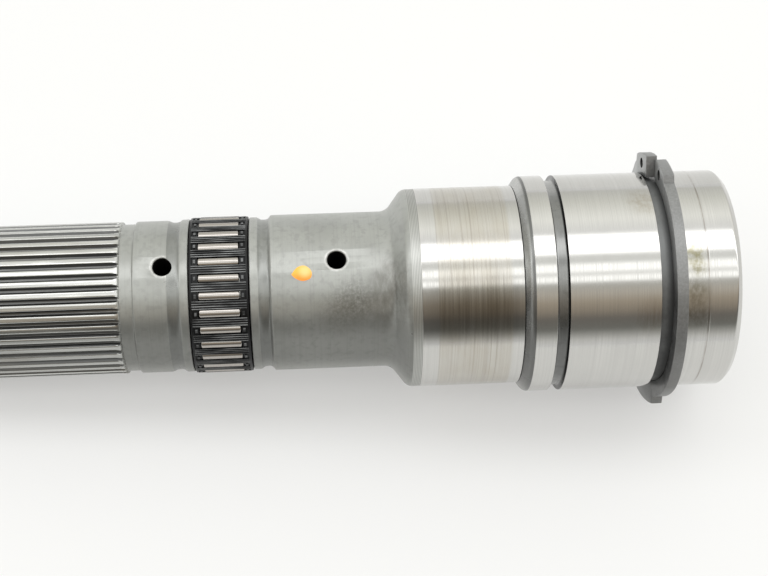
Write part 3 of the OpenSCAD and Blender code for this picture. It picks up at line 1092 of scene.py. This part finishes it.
    def build(self) -> Object:
        """Builds and dresses the shaft.

        Returns:
            The shaft.
        """
        piece = as_object("turned_shaft", turned_solid(self.outline(), self.segments))
        shape_by(piece, self.tooth_gaps(), Cut.AWAY)
        for height, surface_r in self.oil_holes:
            shape_by(piece, self.oil_hole(height, surface_r), Cut.AWAY)
        dress(piece, "shaft", self.finishes(), self.zone_at)
        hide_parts("main_shaft")
        return piece

    def build_paint(self) -> Object:
        """Builds the dab of marking paint, a low cone that narrows towards the spline.

        Returns:
            The dab.
        """
        bm = bmesh.new()
        bmesh.ops.create_circle(bm, cap_ends=True, segments=40, radius=1.0)
        bmesh.ops.poke(bm, faces=bm.faces[:])
        at, height = self.paint_at
        for vert in bm.verts:
            across, along = vert.co.x, vert.co.y
            out = min(1.0, math.hypot(across, along))
            taper = 1.0 - 0.8 * max(0.0, along) ** 1.4
            wave = 1.0 + 0.09 * math.sin(3 * math.atan2(along, across) + 0.7)
            rise = self.paint_rise * (1 - out ** 2) ** 0.6 - self.paint_sunk
            turn = at + math.degrees(across * taper * wave * self.paint_w / self.body_r)
            reach = self.paint_tail if along > 0 else self.paint_head
            vert.co = polar(self.body_r + rise, turn, height + along * wave * reach)
        bmesh.ops.recalc_face_normals(bm, faces=bm.faces[:])
        piece = as_object("paint_dab", bm)
        paint = MarkingPaint("marking_paint", (0.9, 0.24, 0.015), 0.38)
        dress(piece, "shaft", [paint])
        return piece


@dataclass
class NeedleBearing:
    """The split plastic cage and its steel rollers."""

    count: int = 28
    first_at: float = 246.7
    pitch_r: float = 20.05
    z_mid: float = 138.1376
    roller_r: float = 1.5
    roller_len: float = 10.8
    roller_rounding: float = 0.3
    pocket_r: float = 1.6
    pocket_len: float = 11.2
    cage_w: float = 15.6
    rim_w: float = 2.0
    rim_in: float = 18.65
    rim_out: float = 21.35
    bar_in: float = 18.95
    bar_out: float = 21.1
    lip_w: float = 0.7
    ridge_out: float = 21.43
    ridge_w: float = 0.28
    ridges: tuple[float, ...] = (-0.98, -0.33, 0.33, 0.98)
    pad_size: tuple[float, float, float] = (0.8, 1.1, 0.7)
    pad_in: float = 0.36
    pad_at: float = 6.35
    split_w: float = 0.6

    def section(self) -> list[Corner]:
        """Works out the cage's section: a web with a low lip at each side and two inner rims.

        Returns:
            The corners of the closed section.
        """
        low, high = self.z_mid - self.cage_w / 2, self.z_mid + self.cage_w / 2
        inner, outer, lip, rim, slope = self.rim_in, self.rim_out, self.lip_w, self.rim_w, 0.1
        return [
            Corner(inner, low, 0.2), Corner(outer, low, 0.2), Corner(outer, low + lip, 0.06, 2),
            Corner(self.bar_out, low + lip + slope), Corner(self.bar_out, high - lip - slope),
            Corner(outer, high - lip, 0.06, 2), Corner(outer, high, 0.2), Corner(inner, high, 0.2),
            Corner(inner, high - rim), Corner(self.bar_in, high - rim - slope),
            Corner(self.bar_in, low + rim + slope), Corner(inner, low + rim)]

    def block(self, size: tuple[float, float, float], radius: float, degrees: float, height: float,
              rounding: float = 0.0) -> BMesh:
        """Returns a block that stands across the radius.

        Args:
            size: Its sizes along the radius, round the axis and along the axis.
            radius: The radius of its middle.
            degrees: The direction of its middle.
            height: The height of its middle.
            rounding: How far its edges are rounded.

        Returns:
            The block.
        """
        bm = bmesh.new()
        bmesh.ops.create_cube(bm, size=MM)
        bmesh.ops.scale(bm, verts=bm.verts[:], vec=size)
        if rounding:
            round_off(bm, bm.edges[:], rounding, 2)
        out = Matrix.Translation(Vector((radius, 0, height)) * MM)
        turn = Matrix.Rotation(math.radians(degrees), 4, "Z")
        bmesh.ops.transform(bm, matrix=turn @ out, verts=bm.verts[:])
        return bm

    def roller_at(self, number: int) -> float:
        """Returns the direction of a roller, counted from 1."""
        return self.first_at + (number - 1) * 360 / self.count

    def build_cage(self) -> Object:
        """Builds and dresses the cage with its ridges, pockets, pads and split.

        Returns:
            The cage.
        """
        half_pitch = 180 / self.count
        piece = as_object("bearing_cage", turned_solid(self.section(), self.count * 8, closed=True))
        for offset in self.ridges:
            turn = self.first_at + half_pitch + math.degrees(offset / self.bar_out)
            size = (1.0, self.ridge_w, self.cage_w - 1.0)
            ridges = self.block(size, self.ridge_out - size[0] / 2, turn, self.z_mid, 0.06)
            repeat_round(ridges, self.count)
            shape_by(piece, ridges, Cut.JOIN)
        half = self.pocket_len / 2
        pockets = pin(self.pocket_r, -half, half, 40)
        place = polar(self.pitch_r, self.first_at, self.z_mid)
        bmesh.ops.translate(pockets, verts=pockets.verts[:], vec=place)
        repeat_round(pockets, self.count)
        shape_by(piece, pockets, Cut.AWAY)
        for side in (-1, 1):
            radius, height = self.rim_out - self.pad_in, self.z_mid + side * self.pad_at
            pads = self.block(self.pad_size, radius, self.first_at, height, 0.08)
            repeat_round(pads, self.count)
            shape_by(piece, pads, Cut.JOIN)
        opposite = self.first_at + 180 + half_pitch
        split = self.block((8, self.split_w, 2 * self.cage_w), self.pitch_r, opposite, self.z_mid)
        shape_by(piece, split, Cut.AWAY)
        plastic = MouldedPlastic("moulded_black_plastic", (0.004, 0.0044, 0.005), 0.36)
        dress(piece, "cage", [plastic])
        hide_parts("needle_cage")
        return piece

    def build_rollers(self) -> list[Object]:
        """Builds and dresses the rollers with their rounded ends, each on its own body.

        Returns:
            The rollers.
        """
        half = self.roller_len / 2
        steel = GroundSteel("needle_roller_steel", (0.42, 0.396, 0.37), 0.1)
        made: list[Object] = []
        for number in range(1, self.count + 1):
            node = f"roller_{number:02d}"
            bm = pin(self.roller_r, -half, half, 48, self.roller_rounding)
            place = polar(self.pitch_r, self.roller_at(number), self.z_mid)
            bmesh.ops.translate(bm, verts=bm.verts[:], vec=place)
            piece = as_object(f"needle_{number:02d}", bm)
            dress(piece, node, [steel])
            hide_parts(node)
            made.append(piece)
        return made


class RingSide(Enum):
    """The faces of the ring that have a finish of their own."""

    EDGE = 0
    FLAT = 1
    HOLE = 2


@dataclass
class RetainingRing:
    """The punched ring in its wide groove: one lug is at one wall, the other has sprung across."""

    thickness: float = 3.0
    gap_arc: float = 1.0
    gap_at: float = 318.0
    seat_r: float = 28.56
    lift: float = 0.9
    z_low: float = 15.4
    cross: float = 3.2
    lean_from: float = 130.0
    lean_arc: float = 60.0
    lean_share: float = 0.53
    lift_arcs: tuple[float, float] = (35.0, 28.0)  # start before the last end, length
    spring_arcs: tuple[float, float] = (40.0, 24.5)  # start before the last end, length
    spring_share: float = 0.86
    lug_turn: float = 0.45
    plain_w: float = 4.5
    lug_w: float = 6.2
    lug_arc: float = 17.0
    pad_w: float = 6.5
    pad_arc: float = 38.0
    fall_arc: float = 2.0
    hole_r: float = 1.4
    hole_out: float = 3.4
    step: float = 1.2
    edge: float = 0.22

    @property
    def arc(self) -> float:
        """Returns the arc that the ring takes up."""
        return 360 - self.gap_arc

    @property
    def hole_arcs(self) -> tuple[float, float]:
        """Returns the arcs of the two lug holes."""
        return self.lug_arc / 2, self.arc - self.lug_arc / 2

    def turn(self, a: float) -> float:
        """Returns the direction of the arc a, which is counted from the first end."""
        return self.gap_at - self.gap_arc / 2 - a

    def inner_r(self, a: float) -> float:
        """Works out the inner radius, which grows where the last end lifts off the groove's floor.

        Args:
            a: The arc from the first end.

        Returns:
            The radius in mm.
        """
        before, length = self.lift_arcs
        lifted = self.lift * ease(a, self.arc - before, length)
        return (self.seat_r + lifted) / math.cos(math.radians(self.step / 2))

    def hole_centre(self, a: float) -> Vector:
        """Returns the centre of the lug hole at the arc a, at height 0."""
        return polar(self.inner_r(a) + self.hole_out, self.turn(a), 0)

    def width(self, a: float) -> float:
        """Works out the radial width, with the lugs and the pad opposite them.

        Args:
            a: The arc from the first end.

        Returns:
            The width in mm.
        """
        lug = 1 - min(1.0, max(0.0, (min(a, self.arc - a) - self.lug_arc) / self.fall_arc))
        pad = 1 - min(1.0, max(0.0, (abs(a - self.arc / 2) - self.pad_arc / 2) / self.fall_arc))
        return self.plain_w + (self.lug_w - self.plain_w) * lug + (self.pad_w - self.plain_w) * pad

    def height(self, a: float) -> float:
        """Works out the height of the ring's lower side, which leans and springs across the groove.

        Args:
            a: The arc from the first end.

        Returns:
            The height in mm.
        """
        lean = self.lean_share * ease(a, self.lean_from, self.lean_arc)
        before, length = self.spring_arcs
        sprung = (self.spring_share - self.lean_share) * ease(a, self.arc - before, length)
        turned_back = self.lug_turn * max(0.0, a - self.arc + self.lug_arc * 0.9) / self.lug_arc
        return self.z_low + self.cross * (lean + sprung) - turned_back

    def corners(self, a: float) -> list[Vector]:
        """Works out the four corners of a section.

        Args:
            a: The arc from the first end.

        Returns:
            The corners, in metres.
        """
        turn, inner, z = self.turn(a), self.inner_r(a), self.height(a)
        outer, top = inner + self.width(a), z + self.thickness
        places = ((inner, z), (outer, z), (outer, top), (inner, top))
        return [polar(radius, turn, height) for radius, height in places]

    def stations(self) -> list[float]:
        """Sets out the ring's sections: at each change of width, and evenly between.

        Returns:
            Their arcs from the first end.
        """
        pad_from = (self.arc - self.pad_arc) / 2
        half = [0.0, self.lug_arc, self.lug_arc + self.fall_arc, pad_from - self.fall_arc, pad_from]
        changes = half + [self.arc - a for a in reversed(half)]
        made = [0.0]
        for low, high in zip(changes, changes[1:]):
            count = math.ceil((high - low) / self.step)
            made += [low + (high - low) * k / count for k in range(1, count + 1)]
        return made

    def zone_at(self, middle: Vector) -> int:
        """Returns the finish of a face.

        Args:
            middle: The face's middle in mm.

        Returns:
            The number of its material slot.
        """
        here = self.turn(math.degrees(math.atan2(middle.y, middle.x))) % 360
        above = middle.z - self.height(here)
        for a in self.hole_arcs:
            centre = self.hole_centre(a) / MM
            near = math.hypot(middle.x - centre.x, middle.y - centre.y) < self.hole_r + 0.05
            if near and 0.2 < above < self.thickness - 0.2:
                return RingSide.HOLE.value
        return (RingSide.FLAT if above > self.thickness - 0.03 else RingSide.EDGE).value

    def build(self) -> Object:
        """Draws the section round the ring, rounds its edges, drills its lugs and dresses it.

        Returns:
            The ring.
        """
        bm = bmesh.new()
        stations = self.stations()
        ring = [bm.verts.new(p) for p in self.corners(stations[0])]
        edges = [bm.edges.new((ring[k], ring[(k + 1) % 4])) for k in range(4)]
        first = edges
        rails: list[BMEdge] = []
        for a in stations[1:]:
            drawn = bmesh.ops.extrude_edge_only(bm, edges=edges)["geom"]
            fresh = [v for v in drawn if isinstance(v, BMVert)]
            edges = [e for e in drawn if isinstance(e, BMEdge)]
            moved = [min(fresh, key=lambda v, old=old: (v.co - old.co).length_squared)
                     for old in ring]
            rails += [next(e for e in new.link_edges if e.other_vert(new) is old)
                      for new, old in zip(moved, ring)]
            for vert, place in zip(moved, self.corners(a)):
                vert.co = place
            ring = moved
        for rim in (first, edges):
            bmesh.ops.contextual_create(bm, geom=rim)
        bmesh.ops.recalc_face_normals(bm, faces=bm.faces[:])
        round_off(bm, rails + first + edges, self.edge, 3, clamp=True)
        bmesh.ops.recalc_face_normals(bm, faces=bm.faces[:])
        piece = as_object("sprung_ring", bm)
        for a in self.hole_arcs:
            low = self.height(a)
            hole = pin(self.hole_r, low - 1, low + self.thickness + 1, 48)
            bmesh.ops.translate(hole, verts=hole.verts[:], vec=self.hole_centre(a))
            shape_by(piece, hole, Cut.AWAY)
        # Darker lower side of the ring's edges and flat faces: painted shade.
        ring_painted_shade = StainAndLightSpot(polar(33.0, 203, 17.0), 6.0, 24.0, (0.1, 0.098, 0.094), 0.5, 60, 60)
        side_painted_shade = StainAndLightSpot(polar(33.0, 205, 17.0), 16.0, 44.0, (0.06, 0.06, 0.06), 0.95, 60, 60)
        dress(piece, "shaft", [
            ShearedSteel("punched_ring_steel", (0.25, 0.253, 0.251), 0.4, 0.55, (ring_painted_shade,)),
            ShearedSteel("ring_side_shaded_steel", (0.36, 0.367, 0.367), 0.35, 0.6, (side_painted_shade,)),
            # Near-black lug hole walls: painted shade.
            ShearedSteel("ring_hole_shaded_steel", (0.05, 0.05, 0.05), 0.5, 0.6)], self.zone_at)
        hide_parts("snap_ring")
        return piece


@dataclass
class Studio:
    """The pale sheet behind the shaft, the soft light round it and the picture's camera."""

    elevation: float = 66.7
    along: float = 115.27
    above: float = 7.74
    distance: float = 441.62
    yaw: float = -2.841
    pitch: float = -0.986
    roll: float = -2.016
    focal_px: float = 1585.7
    image_w: int = 768
    sensor_w: float = 36.0
    sheet_half: float = 900.0
    sheet_y: float = 35.75
    sheet_tilt: float = 3.76
    sheet_colour: Colour = (0.76, 0.765, 0.76)
    sheet_bounce: Colour = (0.4, 0.402, 0.4)
    sheet_white: float = 0.36
    sky: tuple[tuple[float, Colour], ...] = (
        (-180, (0.95, 0.95, 0.95)), (-3, (0.9, 0.9, 0.9)), (3, (0.8, 0.8, 0.77)),
        (8, (0.55, 0.55, 0.52)), (16, (0.22, 0.22, 0.2)), (28, (0.21, 0.195, 0.175)),
        (36, (0.37, 0.32, 0.26)), (46, (0.51, 0.44, 0.35)), (55, (0.67, 0.62, 0.54)),
        (63, (0.64, 0.63, 0.58)), (66, (0.8, 0.8, 0.76)), (68, (1.9, 1.9, 1.87)),
        (72, (1.9, 1.9, 1.87)), (74, (1.15, 1.15, 1.12)), (76.5, (1.15, 1.15, 1.12)),
        (78.5, (1.95, 1.95, 1.92)), (84.5, (1.95, 1.95, 1.92)), (87.5, (1.0, 1.01, 0.98)),
        (95, (1.0, 1.0, 0.97)), (98.5, (2.8, 2.8, 2.8)), (115.5, (2.8, 2.8, 2.8)),
        (119, (1.1, 1.1, 1.09)), (136, (1.32, 1.32, 1.26)), (160, (0.98, 0.98, 0.91)),
        (180, (0.78, 0.78, 0.74)),
    )

    def build_sky(self) -> None:
        """Builds the world: bands of soft light round the axis, and white for the camera."""
        world = bpy.data.worlds.new("studio_sky")
        bpy.context.scene.world = world
        world.use_nodes = True
        world.node_tree.nodes.clear()
        kit = NodeKit(world.node_tree)
        coords = kit.node("ShaderNodeTexCoord").outputs["Generated"]
        way = kit.node("ShaderNodeSeparateXYZ", Vector=coords)
        back = [kit.product(way.outputs[axis], -1.0) for axis in "YX"]
        span = kit.node("ShaderNodeMapRange", Value=kit.calc("ARCTAN2", *back), From_Min=-math.pi,
                        From_Max=math.pi)
        ramp = kit.node("ShaderNodeValToRGB", Fac=span.outputs[0])
        stops = ramp.color_ramp.elements
        while len(stops) < len(self.sky):
            stops.new(0.5)
        for stop, (degrees, colour) in zip(stops, self.sky):
            stop.position = (degrees + 180) / 360
            stop.color = (*colour, 1.0)
        light = kit.node("ShaderNodeBackground", Color=ramp.outputs[0]).outputs[0]
        white = kit.node("ShaderNodeBackground", Color=(1, 1, 1, 1)).outputs[0]
        seen = kit.node("ShaderNodeLightPath").outputs["Is Camera Ray"]
        kit.node("ShaderNodeOutputWorld", Surface=kit.blend(seen, light, white))

    def build_sheet(self) -> Object:
        """Builds the pale sheet that the shaft lies on, clear from behind.

        Returns:
            The sheet.
        """
        bm = bmesh.new()
        bmesh.ops.create_grid(bm, x_segments=1, y_segments=1, size=self.sheet_half * MM)
        for degrees in (90.0, self.sheet_tilt):
            bmesh.ops.rotate(bm, verts=bm.verts[:], cent=(0, 0, 0),
                             matrix=Matrix.Rotation(math.radians(degrees), 3, "X"))
        bmesh.ops.translate(bm, verts=bm.verts[:], vec=(0, self.sheet_y * MM, 0))
        sheet = as_object("pale_sheet", bm)
        material = bpy.data.materials.new("pale_sheet")
        material.use_nodes = True
        material.node_tree.nodes.clear()
        kit = NodeKit(material.node_tree)
        path = kit.node("ShaderNodeLightPath").outputs
        mirrored = kit.calc("MAXIMUM", path["Is Camera Ray"], path["Is Glossy Ray"])
        seen = kit.calc("MAXIMUM", mirrored, path["Is Transmission Ray"])
        diffuse, bounce = (kit.node("ShaderNodeBsdfDiffuse", Color=(*colour, 1.0)).outputs[0]
                           for colour in (self.sheet_colour, self.sheet_bounce))
        white = kit.node("ShaderNodeEmission", Strength=1.0).outputs[0]
        shown = kit.blend(seen, bounce, kit.blend(self.sheet_white, diffuse, white))
        clear = kit.node("ShaderNodeBsdfTransparent").outputs[0]
        behind = kit.node("ShaderNodeNewGeometry").outputs["Backfacing"]
        kit.node("ShaderNodeOutputMaterial", Surface=kit.blend(behind, shown, clear))
        sheet.data.materials.append(material)
        return sheet

    def build_camera(self) -> Object:
        """Builds the camera at the picture's place.

        Returns:
            The camera.
        """
        tilt = math.radians(self.elevation)
        towards = Vector((-math.cos(tilt), -math.sin(tilt), 0))
        up = Vector((math.sin(tilt), -math.cos(tilt), 0))
        right = Vector((0, 0, -1))
        base = Matrix((right, up, towards)).transposed()
        yaw, pitch, roll = (Matrix.Rotation(math.radians(degrees), 3, axis) for degrees, axis in (
            (self.yaw, "Y"), (self.pitch, "X"), (self.roll, "Z")))
        place = (-right * self.along + up * self.above + towards * self.distance) * MM
        data = bpy.data.cameras.new("picture_camera")
        data.sensor_fit, data.sensor_width = "HORIZONTAL", self.sensor_w
        data.lens = self.focal_px * self.sensor_w / self.image_w
        data.clip_start, data.clip_end = 0.01, 20.0
        camera = bpy.data.objects.new("picture_camera", data)
        camera.matrix_world = Matrix.Translation(place) @ (base @ yaw @ pitch @ roll).to_4x4()
        bpy.context.scene.collection.objects.link(camera)
        bpy.context.scene.camera = camera
        return camera

    def build(self) -> None:
        """Builds the sky, the sheet and the camera."""
        bpy.context.scene.view_settings.view_transform = "Standard"
        self.build_sky()
        self.build_sheet()
        self.build_camera()


def main() -> None:
    """Builds the studio and each sub-assembly."""
    logging.basicConfig(level=logging.INFO, format="%(message)s")
    Studio().build()
    shaft = MainShaft()
    shaft.build()
    shaft.build_paint()
    bearing = NeedleBearing()
    bearing.build_cage()
    bearing.build_rollers()
    RetainingRing().build()


if __name__ == "__main__":
    main()
